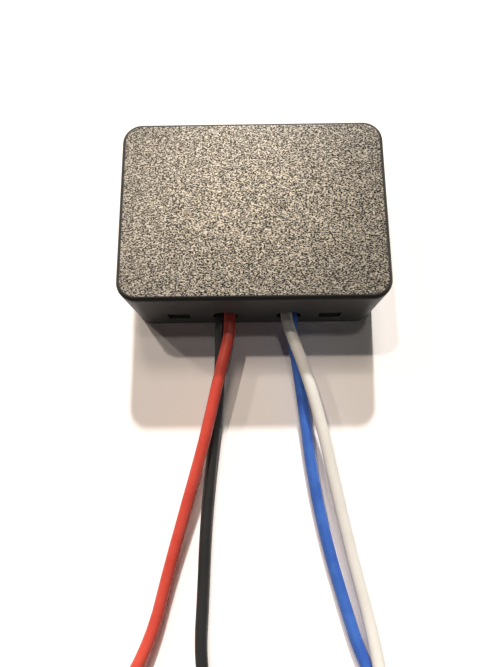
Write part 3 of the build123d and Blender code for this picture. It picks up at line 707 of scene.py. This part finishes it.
caseFinish = {
    "grainScale": 1650.0,
    "grainDepth": 0.045 * mm,
    "skinScale": 5200.0,          # the much finer skin of the smooth walls
    "skinDepth": 0.003 * mm,
    # painted shade: the pits darker than the bare plastic, for the shade in them
    "ground": (0.005, 0.0045, 0.004),
    "groundFilm": (0.070, 0.060, 0.046),   # painted sheen: the pits paler towards the rear left, where the lamps' sheen lowers the grain's contrast
    # painted highlight: the grain's tops on the top face far paler than the plastic, for the lamps'
    # glints on them
    "tops": (0.36, 0.305, 0.225),
    "rubbedTops": (0.70, 0.59, 0.43),      # painted sheen: paler still in the middle of the top, where the lamps' reflection lies
    "rubbedMiddle": (-2 * mm, 4 * mm, 0),
    "rubbedReach": (27 * mm, 24 * mm),     # along X and Y
    "rubbed": (1.15, 0.2),                 # in shares of that reach
    "film": (-14 * mm, 28 * mm),           # across the top towards the rear left
    "filmSlope": 0.7,
    "wallTops": (0.060, 0.052, 0.042),
    "smooth": (0.030, 0.029, 0.027),
    "smoothPale": (0.044, 0.043, 0.041),
    "patchScale": 70.0,
    "frontEdge": (0.009, 0.0085, 0.008),   # painted reflection: the rounded edge over the front wall, darker for the dark surroundings it reflects
    "plainShine": 0.1,            # the gloss of the bare plastic
    "glossIor": 2.0,              # the polished skin over it
    "glossRoughness": 0.40,
    "topShine": 0.7,              # how much of that skin each part has
    "wallShine": 0.35,
    "smoothShine": 0.08,
    "grainRoughness": 0.26,
    "smoothRoughness": 0.46,
    # Where each part lies, by its depth under the cover's faces and by its normal
    "wall": 1.5 * mm,
    "topDepth": 0.1 * mm,
    "levelZ": (0.97, 0.995),
    "uprightZ": (0.3, 0.05),
    "notFrontY": (-0.85, -0.55),
    "edgeZ": (0.12, 0.35),
    "edgeY": (-0.25, -0.5),
}


def caseMasks(tree, at, way):
    # The level top, all that is textured, and the rounded edge over the front wall
    s = caseFinish
    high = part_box("cover")[1]
    nearTop = rangeOf(tree, at["Z"], high.z - s["wall"], high.z - s["topDepth"])
    top = product(tree, rangeOf(tree, way["Z"], *s["levelZ"]), nearTop)
    pastX = calculate(tree, "SUBTRACT", sizeOf(tree, at["X"]), high.x - s["wall"])
    pastY = calculate(tree, "SUBTRACT", sizeOf(tree, at["Y"]), high.y - s["wall"])
    outside = calculate(tree, "GREATER_THAN", calculate(tree, "MAXIMUM", pastX, pastY), 0.0)
    upright = rangeOf(tree, sizeOf(tree, way["Z"]), *s["uprightZ"])
    walls = product(tree, outside, upright, rangeOf(tree, way["Y"], *s["notFrontY"]))
    frontEdge = product(tree, rangeOf(tree, way["Z"], *s["edgeZ"]), rangeOf(tree, way["Y"], *s["edgeY"]))
    return top, calculate(tree, "MAXIMUM", top, walls), frontEdge


def makeCaseMaterial():
    # Textured top, ends and rear; smooth front, rounded top edge and inside
    s = caseFinish
    material, tree, shader = newMaterial("caseBlack", {
        "Specular IOR Level": s["plainShine"], "Coat IOR": s["glossIor"],
        "Coat Roughness": s["glossRoughness"],
    })
    coordinates = addNode(tree, "TexCoord").outputs
    place = coordinates["Object"]
    at = axesOf(tree, place)
    top, textured, frontEdge = caseMasks(tree, at, axesOf(tree, coordinates["Normal"]))
    grain = useGroup(tree, "mouldGrain", {"Vector": place, "Scale": s["grainScale"]})
    handled = useGroup(tree, "handling", {"Vector": place, "Patch Scale": s["patchScale"]})

    # Painted highlight and sheen: the grain's tops on the top face paler than on the walls, palest in
    # its middle, where the lamps' reflection lies
    reachX, reachY = s["rubbedReach"]
    away = stretched(tree, fromPoint(tree, place, s["rubbedMiddle"]), (1 / reachX, 1 / reachY, 0))
    rubbed = rangeOf(tree, lengthOf(tree, away), *s["rubbed"])
    tops = mixColours(tree, top, s["wallTops"], mixColours(tree, rubbed, s["tops"], s["rubbedTops"]))
    # Painted sheen: paler pits towards the rear left of the top face
    film = calculate(tree, "SUBTRACT", at["Y"], product(tree, at["X"], s["filmSlope"]))
    film = product(tree, rangeOf(tree, film, *s["film"]), top)
    rough = mixColours(tree, grain["Tops"], mixColours(tree, film, s["ground"], s["groundFilm"]), tops)
    smooth = mixColours(tree, handled["Patches"], s["smooth"], s["smoothPale"])
    # Painted reflection: the rounded front edge darker, for the dark surroundings it reflects
    smooth = mixColours(tree, frontEdge, smooth, s["frontEdge"])

    shine = product(tree, grain["Tops"], fade(tree, top, s["wallShine"], s["topShine"]))
    smoothShine = fade(tree, frontEdge, s["smoothShine"], 0.0)
    skin = product(tree, noiseOf(tree, place, s["skinScale"]), s["skinDepth"] / s["grainDepth"])
    relief = calculate(tree, "ADD", product(tree, grain["Height"], textured), skin)
    feed(tree, shader, {
        "Base Color": mixColours(tree, textured, smooth, rough),
        "Roughness": fade(tree, textured, s["smoothRoughness"], s["grainRoughness"]),
        "Coat Weight": fade(tree, textured, smoothShine, shine),
        "Normal": bumpOf(tree, relief, s["grainDepth"]),
    })
    return material


wireFinishes = {
    "red": {"colour": (0.72, 0.085, 0.055), "deep": (0.62, 0.062, 0.042), "shine": 0.3},
    "black": {"colour": (0.026, 0.025, 0.024), "deep": (0.017, 0.017, 0.017), "shine": 0.2},
    "white": {"colour": (0.93, 0.915, 0.88), "deep": (0.88, 0.86, 0.82), "shine": 0.4},
    "blue": {"colour": (0.062, 0.185, 0.64), "deep": (0.040, 0.125, 0.50), "shine": 0.3},
}
wireSurface = {
    "patchScale": 160.0,
    "roughness": (0.34, 0.48),
    "rippleScale": 700.0,
    "rippleDepth": 0.006 * mm,
}


def makeWireMaterial(name):
    s = wireFinishes[name] | wireSurface
    material, tree, shader = newMaterial(name + "Wire", {"Specular IOR Level": s["shine"]})
    place = addNode(tree, "TexCoord").outputs["Object"]
    handled = useGroup(tree, "handling", {"Vector": place, "Patch Scale": s["patchScale"]})
    ripple = noiseOf(tree, place, s["rippleScale"], 3.0, 0.55)
    feed(tree, shader, {
        "Base Color": mixColours(tree, handled["Patches"], s["colour"], s["deep"]),
        "Roughness": fade(tree, handled["Patches"], *s["roughness"]),
        "Normal": bumpOf(tree, ripple, s["rippleDepth"]),
    })
    return material


# Finishes of the CAD pieces

commonFinish = {              # for what a finish doesn't set itself
    "grainScale": 3000.0,
    "grainDepth": 0.006 * mm,
    "metallic": 0.0,
    "shine": 0.5,
    "patchScale": 420.0,
    "rubRadius": 0.12 * mm,
}
finishes = {
    "base_black": {
        "colour": (0.034, 0.033, 0.031), "worn": (0.052, 0.050, 0.048), "edge": (0.085, 0.082, 0.078),
        "roughness": (0.42, 0.58), "grainScale": 1650.0, "grainDepth": 0.018 * mm,
    },
    "tongue_black": {      # the snap tongues: painted shade, darker for the shade inside their windows, and duller
        "colour": (0.009, 0.009, 0.008), "worn": (0.013, 0.012, 0.011), "edge": (0.022, 0.021, 0.020),
        "roughness": (0.55, 0.68), "shine": 0.15, "grainScale": 1650.0, "grainDepth": 0.012 * mm,
    },
    "relay_blue": {
        "colour": (0.055, 0.095, 0.27), "worn": (0.070, 0.115, 0.30), "edge": (0.13, 0.18, 0.38),
        "roughness": (0.30, 0.44), "grainScale": 2600.0, "grainDepth": 0.008 * mm,
    },
    "relay_dark": {
        "colour": (0.050, 0.050, 0.052), "worn": (0.075, 0.075, 0.077), "edge": (0.12, 0.12, 0.12),
        "roughness": (0.45, 0.60), "grainScale": 2600.0, "grainDepth": 0.008 * mm,
    },
    "bobbin_plastic": {
        "colour": (0.78, 0.75, 0.66), "worn": (0.70, 0.66, 0.56), "edge": (0.84, 0.82, 0.75),
        "roughness": (0.38, 0.52), "grainScale": 2600.0,
    },
    "chip_black": {
        "colour": (0.026, 0.026, 0.027), "worn": (0.042, 0.042, 0.042), "edge": (0.070, 0.070, 0.070),
        "roughness": (0.55, 0.72), "grainScale": 5000.0,
    },
    "trimmer_blue": {
        "colour": (0.035, 0.16, 0.50), "worn": (0.050, 0.20, 0.54), "edge": (0.12, 0.30, 0.62),
        "roughness": (0.32, 0.46),
    },
    "trimmer_white": {
        "colour": (0.82, 0.81, 0.76), "worn": (0.76, 0.74, 0.68), "edge": (0.88, 0.87, 0.84),
        "roughness": (0.36, 0.50), "grainDepth": 0.005 * mm,
    },
    "seal_rubber": {
        "colour": (0.045, 0.045, 0.045), "worn": (0.075, 0.073, 0.070), "edge": (0.10, 0.10, 0.095),
        "roughness": (0.70, 0.85), "grainScale": 4000.0, "grainDepth": 0.010 * mm,
    },
    "transistor_black": {
        "colour": (0.030, 0.030, 0.033), "worn": (0.048, 0.048, 0.050), "edge": (0.080, 0.080, 0.082),
        "roughness": (0.40, 0.60), "grainScale": 4500.0, "grainDepth": 0.005 * mm,
    },
    "ceramic_orange": {
        "colour": (0.72, 0.33, 0.075), "worn": (0.64, 0.27, 0.055), "edge": (0.80, 0.45, 0.16),
        "roughness": (0.26, 0.42), "grainScale": 1500.0, "grainDepth": 0.020 * mm,
    },
    "tie_plastic": {
        "colour": (0.085, 0.084, 0.082), "worn": (0.12, 0.118, 0.115), "edge": (0.19, 0.188, 0.185),
        "roughness": (0.34, 0.50),
    },
    "solder": {
        "colour": (0.70, 0.70, 0.72), "worn": (0.52, 0.52, 0.54), "edge": (0.78, 0.78, 0.80),
        "roughness": (0.18, 0.42), "grainScale": 1200.0, "grainDepth": 0.015 * mm, "metallic": 1.0,
    },
    "screw_steel": {
        "colour": (0.60, 0.60, 0.62), "worn": (0.44, 0.43, 0.42), "edge": (0.74, 0.74, 0.75),
        "roughness": (0.26, 0.45), "grainScale": 3500.0, "grainDepth": 0.005 * mm, "metallic": 1.0,
    },
    "tinned_copper": {
        "colour": (0.76, 0.73, 0.68), "worn": (0.66, 0.55, 0.44), "edge": (0.82, 0.80, 0.76),
        "roughness": (0.24, 0.42), "grainScale": 2600.0, "metallic": 1.0,
    },
    "soft_iron": {
        "colour": (0.54, 0.54, 0.55), "worn": (0.42, 0.41, 0.40), "edge": (0.68, 0.68, 0.69),
        "roughness": (0.30, 0.50), "metallic": 1.0,
    },
    "spring_bronze": {
        "colour": (0.74, 0.53, 0.28), "worn": (0.58, 0.38, 0.19), "edge": (0.84, 0.68, 0.42),
        "roughness": (0.22, 0.40), "grainDepth": 0.004 * mm, "metallic": 1.0,
    },
    "contact_silver": {
        "colour": (0.82, 0.81, 0.79), "worn": (0.60, 0.58, 0.55), "edge": (0.90, 0.90, 0.88),
        "roughness": (0.16, 0.34), "grainScale": 4000.0, "grainDepth": 0.004 * mm, "metallic": 1.0,
    },
    "pin_tin": {
        "colour": (0.72, 0.72, 0.73), "worn": (0.56, 0.55, 0.54), "edge": (0.80, 0.80, 0.81),
        "roughness": (0.24, 0.42), "grainScale": 3500.0, "grainDepth": 0.004 * mm, "metallic": 1.0,
    },
}


def plainWords(slot):
    first, *rest = slot.split("_")
    return first + "".join(word.capitalize() for word in rest)


def makeFinish(slot, paint=None):
    # One moulded or metal finish. paint may draw over its colour.
    s = commonFinish | finishes[slot]
    material, tree, shader = newMaterial(plainWords(slot), {
        "Metallic": s["metallic"], "Specular IOR Level": s["shine"],
    })
    place = addNode(tree, "TexCoord").outputs["Object"]
    handled = useGroup(tree, "handling", {"Vector": place, "Patch Scale": s["patchScale"]})
    rubbed = useGroup(tree, "edgeRub", {"Vector": place, "Radius": s["rubRadius"]})
    grain = useGroup(tree, "mouldGrain", {"Vector": place, "Scale": s["grainScale"]})
    colour = mixColours(tree, handled["Patches"], s["colour"], s["worn"])
    colour = mixColours(tree, rubbed["Edge"], colour, s["edge"])
    if paint:
        colour = paint(tree, place, colour)
    polish = calculate(tree, "MAXIMUM", handled["Patches"], handled["Scratches"])
    feed(tree, shader, {
        "Base Color": colour,
        "Roughness": fade(tree, polish, *s["roughness"]),
        "Normal": bumpOf(tree, grain["Height"], s["grainDepth"]),
    })
    return material


# Board: green mask over the weave of the laminate on its two faces, and bare laminate
# with the ends of its fibres at its edges

boardFinish = {
    "mask": (0.030, 0.155, 0.070),
    "maskOverWeave": (0.060, 0.235, 0.105),
    "laminate": (0.46, 0.42, 0.24),
    "fibreShade": 0.75,
    "fibreEnds": (-0.6, 0.6),
    "level": (0.4, 0.8),
    "patchScale": 200.0,
    "patchShare": 0.5,
    "roughness": (0.8, 0.34),     # of the edges, and of the mask
    "weavePitch": 1400.0,
    "weaveDepth": 0.004 * mm,
}


def makeBoardMaterial():
    s = boardFinish
    material, tree, shader = newMaterial("boardGreen", {"Coat Weight": 0.25, "Coat Roughness": 0.2})
    coordinates = addNode(tree, "TexCoord").outputs
    place = coordinates["Object"]
    face = rangeOf(tree, sizeOf(tree, axesOf(tree, coordinates["Normal"])["Z"]), *s["level"])
    handled = useGroup(tree, "handling", {"Vector": place, "Patch Scale": s["patchScale"]})
    at = axesOf(tree, place)
    warp, weft = [
        calculate(tree, "SINE", product(tree, at[axis], 2 * math.pi * s["weavePitch"])) for axis in "XY"
    ]
    weave = product(tree, warp, weft)
    mask = mixColours(tree, rangeOf(tree, weave, -1.0, 1.0), s["mask"], s["maskOverWeave"])
    mask = mixColours(tree, product(tree, handled["Patches"], s["patchShare"]), s["mask"], mask)
    shaded = [value * s["fibreShade"] for value in s["laminate"]]
    bare = mixColours(tree, rangeOf(tree, weft, *s["fibreEnds"]), s["laminate"], shaded)
    feed(tree, shader, {
        "Base Color": mixColours(tree, face, bare, mask),
        "Roughness": fade(tree, face, *s["roughness"]),
        "Normal": bumpOf(tree, weave, s["weaveDepth"]),
    })
    return material


trackFinish = {
    "colour": (0.125, 0.36, 0.12),
    "worn": (0.155, 0.40, 0.15),
    "copper": (0.55, 0.38, 0.20),
    "patchScale": 260.0,
    "roughness": (0.28, 0.40),
    "dimpleScale": 2600.0,
    "dimpleDepth": 0.004 * mm,
}


def makeTrackMaterial():
    # The mask where copper lies under it: paler and smooth, with copper in its scratches
    s = trackFinish
    material, tree, shader = newMaterial("trackGreen", {"Coat Weight": 0.3, "Coat Roughness": 0.15})
    place = addNode(tree, "TexCoord").outputs["Object"]
    handled = useGroup(tree, "handling", {"Vector": place, "Patch Scale": s["patchScale"]})
    colour = mixColours(tree, handled["Patches"], s["colour"], s["worn"])
    feed(tree, shader, {
        "Base Color": mixColours(tree, handled["Scratches"], colour, s["copper"]),
        "Roughness": fade(tree, handled["Patches"], *s["roughness"]),
        "Normal": bumpOf(tree, noiseOf(tree, place, s["dimpleScale"]), s["dimpleDepth"]),
    })
    return material


# Winding: fine enamelled wire, laid turn by turn up the bobbin

windingFinish = {
    "enamel": (0.60, 0.235, 0.085),
    "gap": (0.20, 0.060, 0.022),
    "gapEdge": (-1.0, 0.1),
    "turnHeight": 0.16 * mm,
    "turnDepth": 0.06 * mm,
    "turnWander": 0.3,            # in turns
    "patchScale": 700.0,
    "roughness": (0.24, 0.36),
}


def makeWindingMaterial():
    s = windingFinish
    material, tree, shader = newMaterial("copperWinding", {
        "Metallic": 0.75, "Coat Weight": 0.6, "Coat Roughness": 0.15,
    })
    place = addNode(tree, "TexCoord").outputs["Object"]
    handled = useGroup(tree, "handling", {"Vector": place, "Patch Scale": s["patchScale"]})
    wander = product(tree, handled["Patches"], s["turnWander"] * s["turnHeight"])
    height = calculate(tree, "ADD", axesOf(tree, place)["Z"], wander)
    turns = calculate(tree, "SINE", product(tree, height, 2 * math.pi / s["turnHeight"]))
    feed(tree, shader, {
        "Base Color": mixColours(tree, rangeOf(tree, turns, *s["gapEdge"]), s["gap"], s["enamel"]),
        "Roughness": fade(tree, handled["Patches"], *s["roughness"]),
        "Normal": bumpOf(tree, turns, s["turnDepth"]),
    })
    return material


# Resistors and diode: painted bands along X, told by the distance from each
# body's middle

bandFinishes = {
    "resistor_tan": {
        "colour": (0.66, 0.49, 0.30), "worn": (0.60, 0.43, 0.25), "edge": (0.72, 0.57, 0.38),
        "roughness": (0.30, 0.46), "grainScale": 1800.0, "grainDepth": 0.010 * mm,
        "node": "resistors", "bandWidth": 0.62 * mm,
        "bands": [
            (-2.3 * mm, (0.30, 0.085, 0.030)), (-1.1 * mm, (0.025, 0.022, 0.020)),
            (-0.1 * mm, (0.62, 0.18, 0.030)), (2.2 * mm, (0.58, 0.42, 0.10)),
        ],
    },
    "diode_black": {
        "colour": (0.030, 0.030, 0.031), "worn": (0.046, 0.046, 0.047), "edge": (0.080, 0.080, 0.080),
        "roughness": (0.34, 0.50),
        "node": "flyback_diode", "bandWidth": 0.85 * mm,
        "bands": [(1.7 * mm, (0.62, 0.62, 0.61))],
    },
}
bandBlur = 0.05 * mm


def middlesAlong(name):
    # The middles along X of the separate bodies in one CAD node, without repeats
    bm = welded(nodes[name].data)
    left = set(bm.verts)
    found = []
    while left:
        stack = [left.pop()]
        island = list(stack)
        while stack:
            for edge in stack.pop().link_edges:
                for vert in edge.verts:
                    if vert in left:
                        left.remove(vert)
                        island.append(vert)
                        stack.append(vert)
        xs = [vert.co.x for vert in island]
        found.append((min(xs) + max(xs)) / 2)
    bm.free()
    middles = []
    for middle in sorted(found):
        if not middles or middle - middles[-1] > mm:
            middles.append(middle)
    return middles


def bandPaint(s):
    middles = middlesAlong(s["node"])
    band = (s["bandWidth"] / 2, s["bandWidth"] / 2 - bandBlur)

    def paint(tree, place, colour):
        along = axesOf(tree, place)["X"]
        for offset, bandColour in s["bands"]:
            for middle in middles:
                away = sizeOf(tree, calculate(tree, "SUBTRACT", along, middle + offset))
                colour = mixColours(tree, rangeOf(tree, away, *band), colour, bandColour)
        return colour
    return paint


# Cans: a shrunk sleeve with one pale stripe, open at the top over bare aluminium
# that has a cross scored into it

canFinish = {
    "sleeve": (0.022, 0.026, 0.060),
    "sleeveWorn": (0.034, 0.038, 0.078),
    "stripe": (0.52, 0.53, 0.55),
    "stripeHalfWidth": 1.0 * mm,
    "aluminium": (0.80, 0.80, 0.81),
    "topDepths": (0.12 * mm, 0.02 * mm),
    "lipWidth": 0.55 * mm,
    "score": (0.30, 0.30, 0.31),
    "scoreHalfWidth": 0.12 * mm,
    "patchScale": 420.0,
    "roughness": (0.24, 0.38),
    "rippleStretch": (1.0, 1.0, 0.25),
    "rippleScale": 900.0,
    "rippleDepth": 0.02 * mm,
}


def makeCanMaterial(name):
    s = canFinish
    low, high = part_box(name)
    radius = (high.x - low.x) / 2
    height = (high.z - low.z) / 2
    material, tree, shader = newMaterial(plainWords(name) + "Can", {"Specular IOR Level": 0.55})
    place = addNode(tree, "TexCoord").outputs["Object"]
    centred = fromPoint(tree, place, (low + high) / 2)
    at = axesOf(tree, centred)
    reach = lengthOf(tree, stretched(tree, centred, (1.0, 1.0, 0.0)))
    handled = useGroup(tree, "handling", {"Vector": place, "Patch Scale": s["patchScale"]})
    top = rangeOf(tree, at["Z"], *[height - depth for depth in s["topDepths"]])
    disk = product(tree, top, calculate(tree, "LESS_THAN", reach, radius - s["lipWidth"]))
    acrossX, acrossY = sizeOf(tree, at["X"]), sizeOf(tree, at["Y"])
    nearLine = calculate(tree, "MINIMUM", acrossX, acrossY)
    score = product(tree, disk, calculate(tree, "LESS_THAN", nearLine, s["scoreHalfWidth"]))
    stripe = calculate(tree, "LESS_THAN", acrossY, s["stripeHalfWidth"])
    stripe = product(tree, stripe, calculate(tree, "GREATER_THAN", at["X"], 0.0))
    sleeve = mixColours(tree, handled["Patches"], s["sleeve"], s["sleeveWorn"])
    sleeve = mixColours(tree, stripe, sleeve, s["stripe"])
    colour = mixColours(tree, disk, sleeve, s["aluminium"])
    ripple = noiseOf(tree, stretched(tree, place, s["rippleStretch"]), s["rippleScale"])
    relief = calculate(tree, "SUBTRACT", ripple, score)
    feed(tree, shader, {
        "Base Color": mixColours(tree, score, colour, s["score"]),
        "Metallic": disk,
        "Roughness": fade(tree, handled["Patches"], *s["roughness"]),
        "Normal": bumpOf(tree, relief, s["rippleDepth"]),
    })
    return material


def dressNode(name, material):
    for slot in nodes[name].material_slots:
        slot.material = material


finishes.update(bandFinishes)
made = {
    "case_black": makeCaseMaterial(),
    "board_green": makeBoardMaterial(),
    "copper_winding": makeWindingMaterial(),
}
for slot, s in finishes.items():
    made[slot] = makeFinish(slot, bandPaint(s) if "bands" in s else None)

for name, node in nodes.items():
    slot = node.data.materials[0].name
    if slot == "can_sleeve":
        dressNode(name, makeCanMaterial(name))
    elif slot in made:
        dressNode(name, made[slot])
# Painted shade: the snap tongues darker, for the shade inside their windows
for name in ("front_snap_tongues", "rear_snap_tongues"):
    dressNode(name, made["tongue_black"])
for name, (insulation, strands) in leadPieces.items():
    insulation.data.materials.append(makeWireMaterial(name))
    strands.data.materials.append(made["tinned_copper"])
for tie in ties:
    tie.data.materials.append(made["tie_plastic"])
tracks.data.materials.append(makeTrackMaterial())
print("materials made:", len(bpy.data.materials))


# Floor, backdrop and lamps

stageSettings = {
    "floorSize": 1.2,
    "floorDrop": 0.02 * mm,
    "floorColour": (0.86, 0.85, 0.84),
    "floorSeen": (1.22, 1.18, 1.18),     # what the camera and reflections see
    "backdropSeen": (1.0, 1.0, 1.0),
    "fillColour": (1.0, 0.88, 0.77),
    "fillStrength": 0.02,
    "lampDistance": 5.0,
}

# Each lamp: the way to it from the box, its size, the share of a plain level that
# it gives on the table, and its colour
lamps = {
    "backLamp": ((0.6, 22.5, 17.5), 0.23, 0.55, (1.0, 0.97, 0.92)),
    "overheadLamp": ((-5.5, 7.6, 17.5), 0.19, 0.21, (1.0, 0.87, 0.74)),
    "ceilingLamp": ((-0.5, 10.5, 17.5), 1.1, 0.17, (1.0, 0.87, 0.72)),
    "leftLamp": ((-13.0, 11.5, 17.5), 0.19, 0.07, (1.0, 0.87, 0.74)),
    "frontLamp": ((1.5, 3.1, 17.5), 0.27, 0.05, (1.0, 0.95, 0.88)),
}


def mixForSeen(tree, unseen, seen):
    # One colour for light that only falls on the scene, another for what the camera
    # sees directly, in a reflection or through something clear
    rays = addNode(tree, "LightPath").outputs
    looked = calculate(tree, "MAXIMUM", rays["Is Camera Ray"], rays["Is Glossy Ray"])
    looked = calculate(tree, "MAXIMUM", looked, rays["Is Transmission Ray"])
    return mixColours(tree, looked, unseen, seen)


def makeFloor():
    s = stageSettings
    bm = bmesh.new()
    bmesh.ops.create_grid(bm, x_segments=1, y_segments=1, size=s["floorSize"] / 2)
    bmesh.ops.translate(bm, vec=(0, 0, -s["floorDrop"]), verts=bm.verts[:])
    floor = finishMesh("floor", bm)
    floorMaterial = bpy.data.materials.new("paleTable")
    floorMaterial.use_nodes = True
    tree = floorMaterial.node_tree
    tree.nodes.clear()
    colour = mixForSeen(tree, s["floorColour"], s["floorSeen"])
    diffuse = addNode(tree, "BsdfDiffuse", {"Color": colour})
    addNode(tree, "OutputMaterial", {"Surface": diffuse.outputs[0]})
    floor.data.materials.append(floorMaterial)


def makeWorld():
    s = stageSettings
    world = bpy.data.worlds.new("paleRoom")
    bpy.context.scene.world = world
    world.use_nodes = True
    tree = world.node_tree
    tree.nodes.clear()
    fill = [value * s["fillStrength"] for value in s["fillColour"]]
    colour = mixForSeen(tree, fill, s["backdropSeen"])
    background = addNode(tree, "Background", {"Color": colour})
    addNode(tree, "OutputWorld", {"Surface": background.outputs[0]})


def makeLamps():
    distance = stageSettings["lampDistance"]
    for name, (way, size, share, colour) in lamps.items():
        way = Vector(way).normalized()
        lampData = bpy.data.lights.new(name, "AREA")
        lampData.shape = "DISK"
        lampData.size = size
        lampData.color = colour
        # A lamp of this power gives its share of full white on a white table
        lampData.energy = share * math.pi**2 * distance**2 / way.z
        lamp = bpy.data.objects.new(name, lampData)
        turned = way.to_track_quat("Z", "Y").to_matrix().to_4x4()
        lamp.matrix_world = Matrix.Translation(way * distance) @ turned
        bpy.context.scene.collection.objects.link(lamp)


makeFloor()
makeWorld()
makeLamps()
bpy.context.scene.view_settings.view_transform = "Standard"
print("floor and lamps made")
